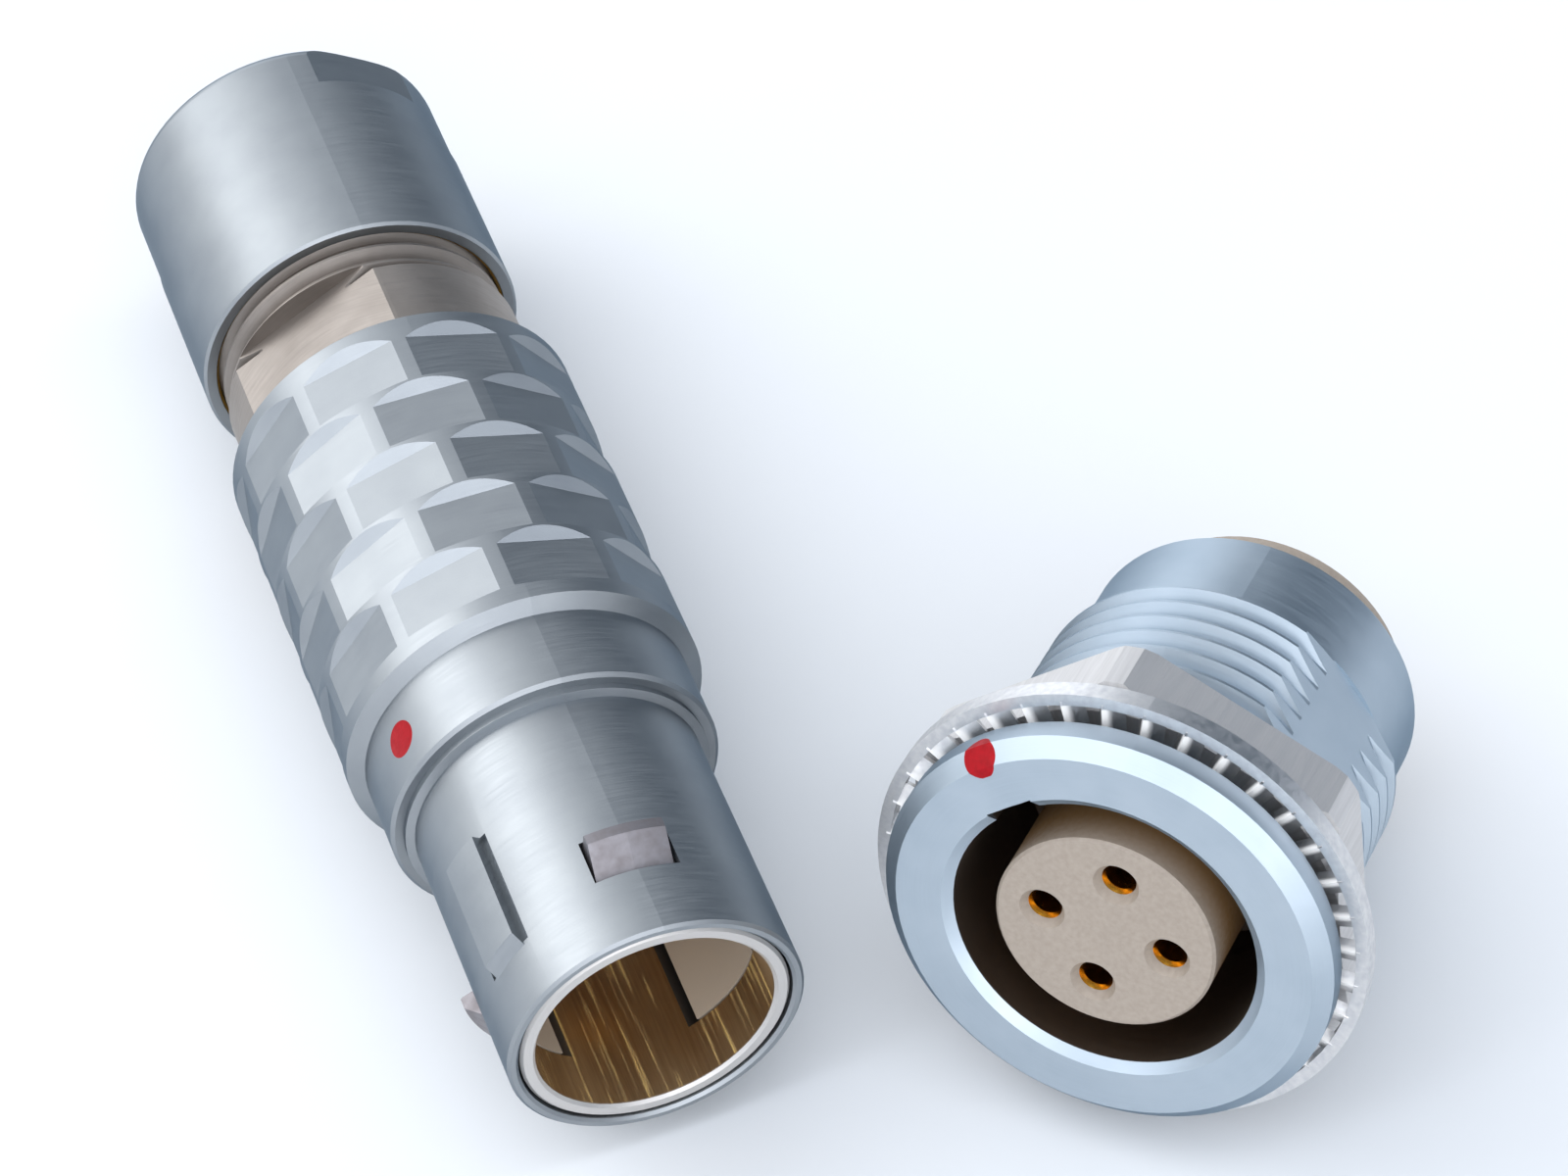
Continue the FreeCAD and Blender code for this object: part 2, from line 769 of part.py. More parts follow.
def make_socket_contact(angle):
    """A bored contact with a locating collar and a solder cup."""
    tail = rear_insert_end + contact_tail
    contact = turned([
        (contact_bore_r + contact_entry, contact_front),
        (contact_r, contact_front),
        (contact_r, contact_collar_front),
        (contact_collar_r, contact_collar_front),
        (contact_collar_r, contact_collar_rear),
        (contact_r, contact_collar_rear),
        (contact_r, tail),
        (cup_bore_r, tail),
        (cup_bore_r, tail - cup_depth),
        (0, tail - cup_depth),
        (0, contact_front + contact_bore_depth),
        (contact_bore_r, contact_front + contact_bore_depth),
        (contact_bore_r, contact_front + contact_entry_depth),
    ])
    contact = contact.cut(bar(0, cutter, 2 * cup_bore_r, tail - cup_mouth, tail + cutter))
    contact.translate(FreeCAD.Vector(pin_circle_r, 0, 0))
    return turn(contact, angle + keyway_angle)


def make_lock_washer():
    """Flat ring with twisted teeth that point inwards."""
    inner = washer_r - washer_ring
    tips = shank_thread_r + tooth_gap
    washer = ring(washer_r, inner, washer_front, washer_rear)
    half = tooth_thickness / 2
    corner = FreeCAD.Vector(tips, -tooth_width / 2, -half)
    tooth = Part.makeBox(inner + tooth_root - tips, tooth_width, tooth_thickness, corner)
    tooth.rotate(FreeCAD.Vector(0, 0, 0), FreeCAD.Vector(1, 0, 0), tooth_twist)
    tooth.translate(FreeCAD.Vector(0, 0, washer_mid))
    step = 360.0 / tooth_count
    teeth = [turn(tooth, tooth_phase + index * step) for index in range(tooth_count)]
    return washer.multiFuse(teeth).removeSplitter()


def make_hex_nut():
    """The panel nut, bevelled at its front corners."""
    bore = shank_thread_r + thread_gap
    blank = turned([
        (bore, hex_front),
        (hex_face_r, hex_front),
        (hex_corner_r, hex_front + hex_front_cone),
        (hex_corner_r, hex_rear - hex_rear_cone),
        (hex_corner_r - 2 * hex_rear_cone, hex_rear),
        (bore, hex_rear),
    ])
    half = hex_across / 2
    tools = []
    for index in range(6):
        tools.append(bar(half, hex_corner_r + cutter, 4 * half, hex_front - 1, hex_rear + 1,
                         hex_phase + 30 + index * 60))
    return blank.cut(tools)


def lay_plug(shape):
    """Local Z becomes +Y and local X becomes up, after the plug's roll."""
    matrix = FreeCAD.Matrix(0, 1, 0, 0,
                            0, 0, 1, 0,
                            1, 0, 0, 0,
                            0, 0, 0, 1)
    return place(turn(shape, plug_roll), matrix)


def place(shape, matrix):
    """A copy moved by a rigid matrix."""
    copy = shape.copy()
    copy.Placement = FreeCAD.Placement(matrix).multiply(copy.Placement)
    return copy


def receptacle_rest():
    """The dip of the lying receptacle's rear, and the height of its face's centre.

    It rests on the rear edge of its shank, and in front on whichever reaches lower:
    the washer's rim or the hex nut's lowest corner.
    """
    tail = shank_end - shank_edge
    corner = (hex_phase + receptacle_roll) % 60
    corner = math.radians(min(corner, 60 - corner))
    corner_arc = math.radians(30) - math.acos(hex_across / 2 / hex_corner_r)
    corner = max(corner - corner_arc, 0)
    contacts = [
        (washer_r, washer_rear),
        (hex_corner_r * math.cos(corner), hex_rear - hex_rear_cone),
    ]
    dip = max(math.atan2(r - shank_r, tail - z) for r, z in contacts)
    return dip, floor_z + tail * math.sin(dip) + shank_r * math.cos(dip)


def lay_receptacle(shape):
    """Local Z becomes the way the lying receptacle's rear points, and local X is up."""
    dip, height = receptacle_rest()
    heading = math.radians(receptacle_heading)
    rear = FreeCAD.Vector(math.cos(heading) * math.cos(dip),
                          math.sin(heading) * math.cos(dip), -math.sin(dip))
    up = FreeCAD.Vector(0, 0, 1)
    up = (up - rear * up.dot(rear)).normalize()
    side = rear.cross(up)
    matrix = FreeCAD.Matrix(up.x, side.x, rear.x, receptacle_x,
                            up.y, side.y, rear.y, receptacle_y,
                            up.z, side.z, rear.z, height,
                            0, 0, 0, 1)
    return place(turn(shape, receptacle_roll), matrix)


def build_plug():
    """Every piece of the plug, by node name, in the plug's local frame."""
    pieces = {
        "outer_shell": make_outer_shell(),
        "plug_index_dot": make_plug_dot(),
        "latch_sleeve": make_latch_sleeve(),
        "plug_insulator": make_plug_insulator(),
        "insert_carrier_upper": make_insert_carrier(0),
        "insert_carrier_lower": make_insert_carrier(180),
        "collet": make_collet(),
        "collet_nut": make_collet_nut(),
    }
    for number, angle in enumerate(latch_angles, 1):
        pieces["latch_finger_%d" % number] = make_latch_finger(angle)
    for number, angle in enumerate(contact_angles, 1):
        pieces["pin_%d" % number] = make_pin(angle)
    return pieces


def build_receptacle():
    """Every piece of the receptacle, by node name, in the receptacle's local frame."""
    pieces = {
        "receptacle_shell": make_receptacle_shell(),
        "receptacle_index_dot": make_receptacle_dot(),
        "earthing_crown": make_earthing_crown(),
        "receptacle_insulator": make_receptacle_insulator(),
        "rear_insulator": make_rear_insulator(),
        "retaining_ring": make_retaining_ring(),
        "lock_washer": make_lock_washer(),
        "hex_nut": make_hex_nut(),
    }
    for number, angle in enumerate(contact_angles, 1):
        pieces["socket_contact_%d" % number] = make_socket_contact(angle)
    return pieces


os.makedirs("parts", exist_ok=True)
for name, piece in build_plug().items():
    lay_plug(piece).exportStep("parts/%s.step" % name)
for name, piece in build_receptacle().items():
    lay_receptacle(piece).exportStep("parts/%s.step" % name)
print("Parts written")
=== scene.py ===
import json

import bpy
from mathutils import Matrix, Vector


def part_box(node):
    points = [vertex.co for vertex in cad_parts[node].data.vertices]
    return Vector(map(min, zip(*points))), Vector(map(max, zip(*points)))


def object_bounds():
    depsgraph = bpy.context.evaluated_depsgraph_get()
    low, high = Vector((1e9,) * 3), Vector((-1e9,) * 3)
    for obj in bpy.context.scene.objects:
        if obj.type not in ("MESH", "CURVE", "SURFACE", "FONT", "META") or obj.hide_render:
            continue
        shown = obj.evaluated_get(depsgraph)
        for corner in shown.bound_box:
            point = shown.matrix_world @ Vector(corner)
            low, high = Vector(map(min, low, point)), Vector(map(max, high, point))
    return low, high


# A push-pull circular connector set: a cable plug with a faceted release sleeve, lying
# beside its panel receptacle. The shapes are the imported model's own. This gives them their
# finishes, the studio and the camera, in metres and in that model's frame.

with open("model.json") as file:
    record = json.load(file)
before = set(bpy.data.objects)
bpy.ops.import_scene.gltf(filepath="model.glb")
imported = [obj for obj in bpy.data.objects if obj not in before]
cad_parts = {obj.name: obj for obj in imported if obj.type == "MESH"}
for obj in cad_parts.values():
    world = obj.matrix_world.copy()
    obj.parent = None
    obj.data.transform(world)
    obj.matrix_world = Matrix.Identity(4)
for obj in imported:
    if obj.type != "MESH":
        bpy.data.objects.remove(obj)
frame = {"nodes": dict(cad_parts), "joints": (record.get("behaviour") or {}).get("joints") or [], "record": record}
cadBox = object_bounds()
mm = 0.001


def jointAxis(name):
    return Vector(next(j for j in frame["joints"] if j["name"] == name)["axis"]).normalized()


def mountPlace(name):
    return Vector(next(m for m in frame["record"]["mounts"] if m["name"] == name)["pos_m"])


# each half was turned about one axis, which starts at its mouth and runs to its rear
plugHalf = dict(centre=mountPlace("plug_nose"), rear=-jointAxis("collet_nut_turn"))
panelHalf = dict(centre=mountPlace("keyed_socket"), rear=jointAxis("hex_nut_turn"))
# both halves lie on the floor by their lowest points
floorHeight = min(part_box(name)[0].z for name in frame["nodes"])
print("Frame loaded:", len(frame["nodes"]), "pieces")


def hexColour(text):
    # an sRGB hex colour as the linear values that the sockets take
    values = [int(text[i:i + 2], 16) / 255 for i in (1, 3, 5)]
    linear = [v / 12.92 if v <= 0.04045 else ((v + 0.055) / 1.055) ** 2.4 for v in values]
    return (*linear, 1.0)


def addNode(tree, kind, inputs, output=0, **settings):
    # inputs are keyed by the socket's name or number, and are values or other sockets
    node = tree.nodes.new("ShaderNode" + kind)
    for name, value in settings.items():
        setattr(node, name, value)
    for name, value in inputs.items():
        if isinstance(value, bpy.types.NodeSocket):
            tree.links.new(value, node.inputs[name])
        else:
            node.inputs[name].default_value = value
    return node.outputs[output]


def startMaterial(name, sockets):
    # one principled shader, with whatever is the same all over set on its own sockets
    material = bpy.data.materials.new(name)
    material.use_nodes = True
    shader = material.node_tree.nodes["Principled BSDF"]
    for socket, value in sockets.items():
        shader.inputs[socket].default_value = value
    return material, material.node_tree, shader


# patterns that follow a turned piece, and what most of them share
noiseSpan = {"From Min": 0.3, "From Max": 0.7}        # where nearly all of a noise's values lie
turnedNoise = {"Scale": 1.0, "Detail": 3.0, "Roughness": 0.6}
drawnNoise = {"Scale": 1.0, "Detail": 4.0, "Roughness": 0.65}


def turnedPlaces(tree, half):
    # how far along the axis, how far from it, and which way round, in metres
    point = addNode(tree, "TexCoord", {}, "Object")
    offset = addNode(tree, "VectorMath", {0: point, 1: half["centre"]}, operation="SUBTRACT")
    along = addNode(tree, "VectorMath", {0: offset, 1: half["rear"]}, "Value",
                    operation="DOT_PRODUCT")
    onAxis = addNode(tree, "VectorMath", {0: half["rear"], "Scale": along}, operation="SCALE")
    across = addNode(tree, "VectorMath", {0: offset, 1: onAxis}, operation="SUBTRACT")
    radius = addNode(tree, "VectorMath", {0: across}, "Value", operation="LENGTH")
    around = addNode(tree, "VectorMath", {0: across}, operation="NORMALIZE")
    return dict(point=point, along=along, radius=radius, around=around, rear=half["rear"])


def turningMarks(tree, places, pitch, reach):
    # the lathe's marks: fine along the piece and outwards, long round it
    sweep = addNode(tree, "Math", {0: places["along"], 1: places["radius"]}, operation="ADD")
    step = addNode(tree, "Math", {0: sweep, 1: 1 / (pitch * mm)}, operation="MULTIPLY")
    lengthwise = addNode(tree, "VectorMath", {0: places["rear"], "Scale": step},
                         operation="SCALE")
    sideways = addNode(tree, "VectorMath", {0: places["around"], "Scale": reach},
                       operation="SCALE")
    spot = addNode(tree, "VectorMath", {0: lengthwise, 1: sideways}, operation="ADD")
    return addNode(tree, "TexNoise", {"Vector": spot, **turnedNoise}, "Fac")


def axialStreaks(tree, places, turn, length):
    # drawn or brushed lines: turn is their width round the axis in radians, length is in mm
    step = addNode(tree, "Math", {0: places["along"], 1: 1 / (length * mm)},
                   operation="MULTIPLY")
    lengthwise = addNode(tree, "VectorMath", {0: places["rear"], "Scale": step},
                         operation="SCALE")
    sideways = addNode(tree, "VectorMath", {0: places["around"], "Scale": 1 / turn},
                       operation="SCALE")
    spot = addNode(tree, "VectorMath", {0: lengthwise, 1: sideways}, operation="ADD")
    return addNode(tree, "TexNoise", {"Vector": spot, **drawnNoise}, "Fac")


def turnedZone(tree, places, fades):
    # 1 inside a stretch of the piece: each fade goes from 0 to 1 between two sizes in mm
    amount = None
    for name, (empty, full) in fades.items():
        fade = addNode(tree, "MapRange", {"Value": places[name], "From Min": empty * mm,
                                          "From Max": full * mm})
        if amount is not None:
            fade = addNode(tree, "Math", {0: amount, 1: fade}, operation="MULTIPLY")
        amount = fade
    return amount


def twoTones(tree, noise, tones):
    # goes from the first colour to the second as the noise rises
    amount = addNode(tree, "MapRange", {"Value": noise, **noiseSpan})
    return addNode(tree, "Mix", {0: amount, 6: hexColour(tones[0]), 7: hexColour(tones[1])}, 2,
                   data_type="RGBA")


def dressShader(tree, shader, base, rough, heights):
    # colour, roughness, and bumps stacked from pairs of a noise and its depth in mm
    tree.links.new(base, shader.inputs["Base Color"])
    tree.links.new(rough, shader.inputs["Roughness"])
    below = {}
    for noise, depth in heights:
        normal = addNode(tree, "Bump", {"Height": noise, "Distance": depth * mm,
                                        "Strength": 1.0, **below})
        below = {"Normal": normal}
    tree.links.new(normal, shader.inputs["Normal"])


# sizes in the materials' dictionaries are in millimetres, and rough is lowest and highest
# the slant tint is a painted reflection: a dark blue-grey on the metal's slanting sides, for a dark surround
satinChrome = dict(edge="#6F8496", anisotropy=0.2, worn=1.12, wornMost=0.35, rough=(0.36, 0.48),
                   turning=0.06, turningReach=3.0, turningDepth=0.0012,   # a fine cut's feed
                   clouds=2.5, cloudDetail=3.0,
                   blast=0.09, blastDetail=2.0, blastDepth=0.0015)        # drawn coarser than real
# the plating doesn't reach far into the back nut, so its mouth shows a line of yellow brass
plugTone = dict(tones=("#A0A4A7", "#979B9F"), patch="#D9AE5E",
                patchZone=dict(radius=(6.45, 6.43), along=(38.2, 38.3)))
# painted shade: inside the keyed socket the chrome is given a dark brownish colour that stands in for the dimness
# of the recess
panelTone = dict(tones=("#B6C1CA", "#ACB8C2"), patch="#95877A",
                 patchZone=dict(radius=(6.63, 6.61), along=(0.28, 0.38)))


def satinChromeOnBrass(name, half, tone):
    # turned brass, blasted and chrome plated: cool grey, even and softly glossy; seen at a slant it is tinted dark
    # blue-grey, a painted reflection of a dark surround
    look = satinChrome
    material, tree, shader = startMaterial(name, {
        "Metallic": 1.0, "Anisotropic": look["anisotropy"],
        "Specular Tint": hexColour(look["edge"])})
    places = turnedPlaces(tree, half)
    marks = turningMarks(tree, places, look["turning"], look["turningReach"])
    clouds = addNode(tree, "TexNoise", {"Vector": places["point"],
                                        "Scale": 1 / (look["clouds"] * mm),
                                        "Detail": look["cloudDetail"]}, "Fac")
    blast = addNode(tree, "TexNoise", {"Vector": places["point"],
                                       "Scale": 1 / (look["blast"] * mm),
                                       "Detail": look["blastDetail"]}, "Fac")
    # the lathe's ridges are rubbed a little lighter than the rest
    worn = [min(1.0, look["worn"] * value) for value in hexColour(tone["tones"][0])]
    wear = addNode(tree, "MapRange", {"Value": marks, **noiseSpan, "To Max": look["wornMost"]})
    base = addNode(tree, "Mix", {0: wear, 6: twoTones(tree, clouds, tone["tones"]), 7: worn}, 2,
                   data_type="RGBA")
    # the patch: a line of bare brass on the plug, and painted shade inside the receptacle's socket
    zone = turnedZone(tree, places, tone["patchZone"])
    base = addNode(tree, "Mix", {0: zone, 6: base, 7: hexColour(tone["patch"])}, 2,
                   data_type="RGBA")
    rough = addNode(tree, "MapRange", {"Value": marks, **noiseSpan, "To Min": look["rough"][0],
                                       "To Max": look["rough"][1]})
    dressShader(tree, shader, base, rough,
                [(marks, look["turningDepth"]), (blast, look["blastDepth"])])
    tangent = addNode(tree, "VectorMath", {0: half["rear"], 1: places["around"]},
                      operation="CROSS_PRODUCT")
    tree.links.new(tangent, shader.inputs["Tangent"])
    return material


thinNickel = dict(tones=("#99928C", "#8E8781"), rough=(0.43, 0.57), turning=0.08,
                  turningReach=3.0, turningDepth=0.0008, clouds=1.8, cloudDetail=3.0)
# streaks and the painted glint lines give how far round a line is, in radians, and how long, in millimetres; the
# glints and the bright lip are painted highlights
drawnBore = dict(zone=dict(radius=(4.87, 4.85), along=(0.25, 0.30)), rough=0.36,
                 tones=("#C4A882", "#E0C8A2"), streaks=(0.03, 6), streakDepth=0.008,
                 paintedGlintColour="#F0CB7A", paintedGlintLines=(0.055, 9), paintedGlintSpan=(0.54, 0.66), paintedGlintRough=0.16,
                 paintedGlintMetal=0.3, paintedLipHighlight="#CCC9C6", paintedLipZone=dict(along=(0.6, 0.3)))


def nickelOnTurnedBrass(name, half, bore=None):
    # thin nickel over turned brass: warmer and duller than the chrome, with fine rings
    look = thinNickel
    material, tree, shader = startMaterial(name, {"Metallic": 1.0})
    places = turnedPlaces(tree, half)
    marks = turningMarks(tree, places, look["turning"], look["turningReach"])
    clouds = addNode(tree, "TexNoise", {"Vector": places["point"],
                                        "Scale": 1 / (look["clouds"] * mm),
                                        "Detail": look["cloudDetail"]}, "Fac")
    base = twoTones(tree, clouds, look["tones"])
    rough = addNode(tree, "MapRange", {"Value": marks, **noiseSpan, "To Min": look["rough"][0],
                                       "To Max": look["rough"][1]})
    heights = [(marks, look["turningDepth"])]
    if bore:
        # the bore is drawn brass left bare, with painted highlights: yellow glint lines along it and a bright lip
        zone = turnedZone(tree, places, bore["zone"])
        streaks = axialStreaks(tree, places, *bore["streaks"])
        # painted highlight: pale yellow glint lines along the bore
        paintedGlintLines = addNode(tree, "MapRange", {"Value": axialStreaks(tree, places, *bore["paintedGlintLines"]),
                                            "From Min": bore["paintedGlintSpan"][0],
                                            "From Max": bore["paintedGlintSpan"][1]})
        brass = addNode(tree, "Mix", {0: paintedGlintLines, 6: twoTones(tree, streaks, bore["tones"]),
                                      7: hexColour(bore["paintedGlintColour"])}, 2, data_type="RGBA")
        # painted highlight: the bore's front lip is made lighter
        paintedLipHighlight = turnedZone(tree, places, bore["paintedLipZone"])
        base = addNode(tree, "Mix", {0: paintedLipHighlight, 6: base, 7: hexColour(bore["paintedLipHighlight"])}, 2,
                       data_type="RGBA")
        base = addNode(tree, "Mix", {0: zone, 6: base, 7: brass}, 2, data_type="RGBA")
        drawnRough = addNode(tree, "MapRange", {"Value": paintedGlintLines, "To Min": bore["rough"],
                                                "To Max": bore["paintedGlintRough"]})
        rough = addNode(tree, "Mix", {0: zone, 2: rough, 3: drawnRough})
        drawn = addNode(tree, "Math", {0: zone, 1: streaks}, operation="MULTIPLY")
        heights.append((drawn, bore["streakDepth"]))
        # the painted glint lines are made partly non-metal, so they pick up diffuse light and read as glints
        paintedGlintMask = addNode(tree, "Math", {0: zone, 1: paintedGlintLines}, operation="MULTIPLY")
        metal = addNode(tree, "MapRange", {"Value": paintedGlintMask, "To Min": 1.0,
                                           "To Max": bore["paintedGlintMetal"]})
        tree.links.new(metal, shader.inputs["Metallic"])
    dressShader(tree, shader, base, rough, heights)
    return material


# tumbled latch fingers: a lavender grey skin outside, and a pale beige, dull, non-metal inner face
dullFingers = dict(tones=("#8F8C90", "#827D7F"), patch="#B9AB9A",
                   patchZone=dict(radius=(5.01, 4.99)), grain=0.5, grainDetail=3.0,
                   grainDepth=0.004, rough=(0.44, 0.56))
# stamped lock washer, plated in a barrel: bright, with a painted highlight on its tooth tips, which are made white
# and non-metal
brightWasher = dict(tones=("#DAD9D8", "#C9C9CB"), patch="#F4F2EF",
                    patchZone=dict(radius=(9.39, 9.37), along=(2.12, 2.0)), grain=0.3,
                    grainDetail=3.0, grainDepth=0.002, rough=(0.30, 0.44))


def nickelOnSpringBronze(name, half, look):
    # pressed strip, nickel plated: finely dented metal, with one patch of a pale, dull, non-metal colour, which on
    # the washer's tooth tips is a painted highlight
    material, tree, shader = startMaterial(name, {})
    places = turnedPlaces(tree, half)
    grain = addNode(tree, "TexNoise", {"Vector": places["point"],
                                       "Scale": 1 / (look["grain"] * mm),
                                       "Detail": look["grainDetail"]}, "Fac")
    # the patch: a painted highlight on the washer's tooth tips, a pale inner face on the fingers
    zone = turnedZone(tree, places, look["patchZone"])
    base = addNode(tree, "Mix", {0: zone, 6: twoTones(tree, grain, look["tones"]),
                                 7: hexColour(look["patch"])}, 2, data_type="RGBA")
    metal = addNode(tree, "MapRange", {"Value": zone, "To Min": 1.0, "To Max": 0.0})
    tree.links.new(metal, shader.inputs["Metallic"])
    rough = addNode(tree, "MapRange", {"Value": grain, **noiseSpan, "To Min": look["rough"][0],
                                       "To Max": look["rough"][1]})
    dressShader(tree, shader, base, rough, [(grain, look["grainDepth"])])
    return material


brushedNut = dict(tones=("#D6D4D3", "#C9C7C6"), rough=(0.5, 0.6), streaks=(0.018, 4),
                  streakDepth=0.0015)


def brushedNickelOnBrass(name, half):
    # milled bar, brushed along its length and nickel plated: fine lines front to rear
    look = brushedNut
    material, tree, shader = startMaterial(name, {"Metallic": 1.0})
    places = turnedPlaces(tree, half)
    streaks = axialStreaks(tree, places, *look["streaks"])
    rough = addNode(tree, "MapRange", {"Value": streaks, **noiseSpan,
                                       "To Min": look["rough"][0], "To Max": look["rough"][1]})
    dressShader(tree, shader, twoTones(tree, streaks, look["tones"]), rough,
                [(streaks, look["streakDepth"])])
    return material


resin = dict(tones=("#9C9083", "#92867A"), ior=1.55, rough=(0.42, 0.6), mottle=0.22,
             mottleDetail=5.0, mottleDepth=0.006)
# the socket insert's side is browner than its face
socketFlank = dict(patch="#8B6A42", patchZone=dict(radius=(4.34, 4.42), along=(0.4, 2.0)))


def mouldedResin(name, half, flank=None):
    # glass-filled resin, moulded: dull taupe with fine mottling, no metal in it
    material, tree, shader = startMaterial(name, {"Metallic": 0.0, "IOR": resin["ior"]})
    places = turnedPlaces(tree, half)
    mottle = addNode(tree, "TexNoise", {"Vector": places["point"],
                                        "Scale": 1 / (resin["mottle"] * mm),
                                        "Detail": resin["mottleDetail"]}, "Fac")
    base = twoTones(tree, mottle, resin["tones"])
    if flank:
        zone = turnedZone(tree, places, flank["patchZone"])
        base = addNode(tree, "Mix", {0: zone, 6: base, 7: hexColour(flank["patch"])}, 2,
                       data_type="RGBA")
    rough = addNode(tree, "MapRange", {"Value": mottle, **noiseSpan,
                                       "To Min": resin["rough"][0], "To Max": resin["rough"][1]})
    dressShader(tree, shader, base, rough, [(mottle, resin["mottleDepth"])])
    return material


gold = dict(tones=("#E3B04A", "#C08A2C"), rough=(0.16, 0.28), waves=0.4, waveDetail=3.0,
            waveDepth=0.004)


def platedGold(name):
    # hard gold on machined contacts: deep yellow and smooth, with a slight waviness
    material, tree, shader = startMaterial(name, {"Metallic": 1.0})
    point = addNode(tree, "TexCoord", {}, "Object")
    waves = addNode(tree, "TexNoise", {"Vector": point, "Scale": 1 / (gold["waves"] * mm),
                                       "Detail": gold["waveDetail"]}, "Fac")
    rough = addNode(tree, "MapRange", {"Value": waves, **noiseSpan, "To Min": gold["rough"][0],
                                       "To Max": gold["rough"][1]})
    dressShader(tree, shader, twoTones(tree, waves, gold["tones"]), rough,
                [(waves, gold["waveDepth"])])
    return material


enamel = dict(tones=("#9E0B17", "#8A0812"), ior=1.45, gloss=0.15, rough=(0.28, 0.4), waves=0.3,
              waveDetail=3.0, waveDepth=0.012)


def redEnamel(name):
    # a drop of enamel set hard in a drilled recess: deep red, slightly uneven, and with too
    # little gloss for the pale surroundings to turn it pink
    material, tree, shader = startMaterial(name, {
        "Metallic": 0.0, "IOR": enamel["ior"], "Specular IOR Level": enamel["gloss"]})
    point = addNode(tree, "TexCoord", {}, "Object")
    waves = addNode(tree, "TexNoise", {"Vector": point, "Scale": 1 / (enamel["waves"] * mm),
                                       "Detail": enamel["waveDetail"]}, "Fac")
    rough = addNode(tree, "MapRange", {"Value": waves, **noiseSpan,
                                       "To Min": enamel["rough"][0],
                                       "To Max": enamel["rough"][1]})
    dressShader(tree, shader, twoTones(tree, waves, enamel["tones"]), rough,
                [(waves, enamel["waveDepth"])])
    return material


plugChrome = satinChromeOnBrass("satin_chrome_plug", plugHalf, plugTone)
panelChrome = satinChromeOnBrass("satin_chrome_receptacle", panelHalf, panelTone)
sleeveNickel = nickelOnTurnedBrass("nickel_latch_sleeve", plugHalf, drawnBore)
plugNickel = nickelOnTurnedBrass("nickel_inner_metal", plugHalf)
panelNickel = nickelOnTurnedBrass("nickel_receptacle_inner", panelHalf)
fingerNickel = nickelOnSpringBronze("dull_nickel_fingers", plugHalf, dullFingers)
washerNickel = nickelOnSpringBronze("bright_nickel_washer", panelHalf, brightWasher)
nutNickel = brushedNickelOnBrass("brushed_nickel_nut", panelHalf)
plugResin = mouldedResin("resin_plug_insert", plugHalf)
socketResin = mouldedResin("resin_receptacle_insert", panelHalf, socketFlank)
rearResin = mouldedResin("resin_rear_insert", panelHalf)
pinGold = platedGold("gold_pins")
socketGold = platedGold("gold_socket_contacts")
dotRed = redEnamel("red_index_enamel")
print("Materials made")

finishes = {
    "outer_shell": plugChrome, "collet_nut": plugChrome, "plug_index_dot": dotRed,
    "latch_sleeve": sleeveNickel, "latch_finger_1": fingerNickel,
    "latch_finger_2": fingerNickel, "latch_finger_3": fingerNickel,
    "plug_insulator": plugResin, "collet": plugNickel,
    "insert_carrier_upper": plugNickel, "insert_carrier_lower": plugNickel,
    "receptacle_shell": panelChrome, "receptacle_index_dot": dotRed,
    "receptacle_insulator": socketResin, "rear_insulator": rearResin,
    "earthing_crown": panelNickel, "retaining_ring": panelNickel,
    "lock_washer": washerNickel, "hex_nut": nutNickel,
}
contacts = 4
for number in range(1, contacts + 1):
    finishes["pin_%d" % number] = pinGold
    finishes["socket_contact_%d" % number] = socketGold
for name, material in finishes.items():
    piece = frame["nodes"][name]
    piece.data.materials.clear()
    piece.data.materials.append(material)
print("Finishes given to", len(finishes), "pieces")


studioFloor = dict(reach=0.6, colour="#D6D8DA", rough=0.7)


def makeFloor():
    reach = studioFloor["reach"]
    corners = [(x, y, floorHeight) for x, y in
               ((-reach, -reach), (reach, -reach), (reach, reach), (-reach, reach))]
    mesh = bpy.data.meshes.new("floor")
    mesh.from_pydata(corners, [], [(0, 1, 2, 3)])
    floor = bpy.data.objects.new("floor", mesh)
    bpy.context.scene.collection.objects.link(floor)
    # matt painted board: pale and even
    material = startMaterial("pale_studio_floor", {
        "Base Color": hexColour(studioFloor["colour"]), "Roughness": studioFloor["rough"]})[0]
    mesh.materials.append(material)


keyLight = dict(toward=(-0.66, 0.45, 0.60), distance=0.30, size=0.2, power=0.25,
                colour="#FFFFFF")


def makeKeyLight():
    # a square softbox that faces the middle of the set
    light = bpy.data.lights.new("key_softbox", "AREA")
    light.shape = "RECTANGLE"
    light.size = light.size_y = keyLight["size"]
    light.energy = keyLight["power"]
    light.color = hexColour(keyLight["colour"])[:3]
    lamp = bpy.data.objects.new("key_softbox", light)
    toward = Vector(keyLight["toward"]).normalized()
    middle = (Vector(cadBox[0]) + Vector(cadBox[1])) / 2
    lamp.location = middle + toward * keyLight["distance"]
    lamp.rotation_euler = toward.to_track_quat("Z", "Y").to_euler()
    bpy.context.scene.collection.objects.link(lamp)


studioAir = dict(
    fill="#566C80", fillStrength=0.66,
    # the soft lights round the set: where each is, how tight, how strong, and its colour
    glows=(
        ((-0.58, 0.62, 0.52), 3.5, 1.4, "#FFFFFF"),
        ((-0.05, -0.30, 0.95), 4.0, 1.35, "#FBFCFF"),
        ((-0.15, -0.93, 0.25), 4.0, 2.6, "#F8FAFF"),
        ((0.05, 0.97, 0.22), 10.0, 1.6, "#F4F8FF"),
    ),
    # one long strip light arches over the set from left to right
    stripPole=(0.0, 1.0, 0.0), stripShift=-0.13, strip=(13.0, 3.6, "#EEF4FF"),
)


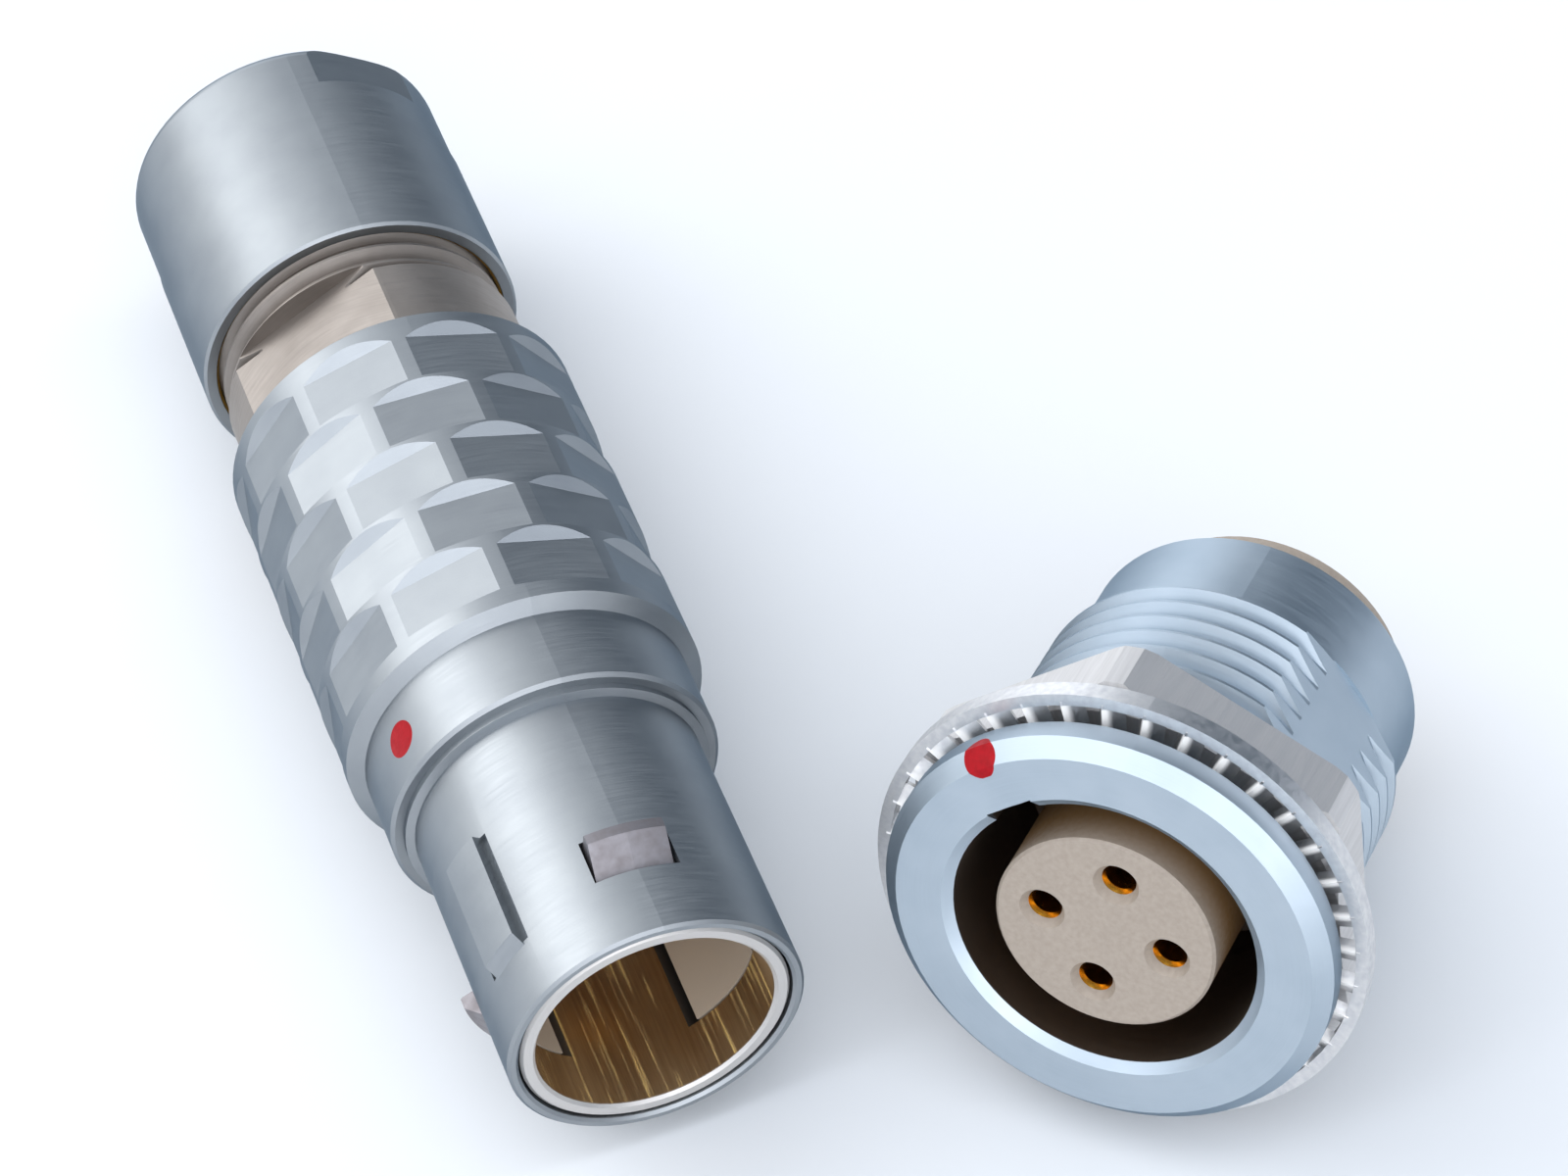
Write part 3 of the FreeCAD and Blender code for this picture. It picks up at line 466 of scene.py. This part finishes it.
def addGlow(tree, before, facing, tightness, strength, colour):
    # adds a soft light to those before it, brightest where facing comes to 1
    lit = addNode(tree, "Math", {0: facing, 1: 0.0}, operation="MAXIMUM")
    soft = addNode(tree, "Math", {0: lit, 1: tightness}, operation="POWER")
    power = addNode(tree, "Math", {0: soft, 1: strength}, operation="MULTIPLY")
    glow = addNode(tree, "VectorMath", {0: hexColour(colour)[:3], "Scale": power},
                   operation="SCALE")
    return addNode(tree, "VectorMath", {0: before, 1: glow}, operation="ADD")


def makeStudioAir():
    world = bpy.data.worlds.new("studio_air")
    world.use_nodes = True
    bpy.context.scene.world = world
    tree = world.node_tree
    toward = addNode(tree, "TexCoord", {}, "Generated")
    light = addNode(tree, "VectorMath", {0: hexColour(studioAir["fill"])[:3],
                                         "Scale": studioAir["fillStrength"]},
                    operation="SCALE")
    for direction, *glow in studioAir["glows"]:
        facing = addNode(tree, "VectorMath", {0: toward, 1: Vector(direction).normalized()},
                         "Value", operation="DOT_PRODUCT")
        light = addGlow(tree, light, facing, *glow)
    along = addNode(tree, "VectorMath", {0: toward, 1: studioAir["stripPole"]}, "Value",
                    operation="DOT_PRODUCT")
    shifted = addNode(tree, "Math", {0: along, 1: studioAir["stripShift"]},
                      operation="SUBTRACT")
    away = addNode(tree, "Math", {0: shifted}, operation="ABSOLUTE")
    near = addNode(tree, "Math", {0: 1.0, 1: away}, operation="SUBTRACT")
    light = addGlow(tree, light, near, *studioAir["strip"])
    tree.links.new(light, tree.nodes["Background"].inputs["Color"])
    bpy.context.scene.view_settings.view_transform = "Standard"


# the camera's place is in millimetres, and right and forward are directions
view = dict(place=(-24.2386, -105.5870, 153.1706), right=(0.936542, -0.345626, -0.058582),
            forward=(0.180820, 0.619450, -0.763928), lens=112.5, sensor=36.0, nearest=1.0)


def makeCamera():
    camera = bpy.data.cameras.new("studio_camera")
    camera.lens = view["lens"]
    camera.sensor_width = view["sensor"]
    camera.clip_start = view["nearest"] * mm
    right = Vector(view["right"]).normalized()
    back = -Vector(view["forward"]).normalized()
    body = bpy.data.objects.new("studio_camera", camera)
    body.matrix_world = (Matrix.Translation(Vector(view["place"]) * mm)
                         @ Matrix((right, back.cross(right), back)).transposed().to_4x4())
    bpy.context.scene.collection.objects.link(body)
    bpy.context.scene.camera = body


makeFloor()
makeKeyLight()
makeStudioAir()
makeCamera()
print("Studio set")
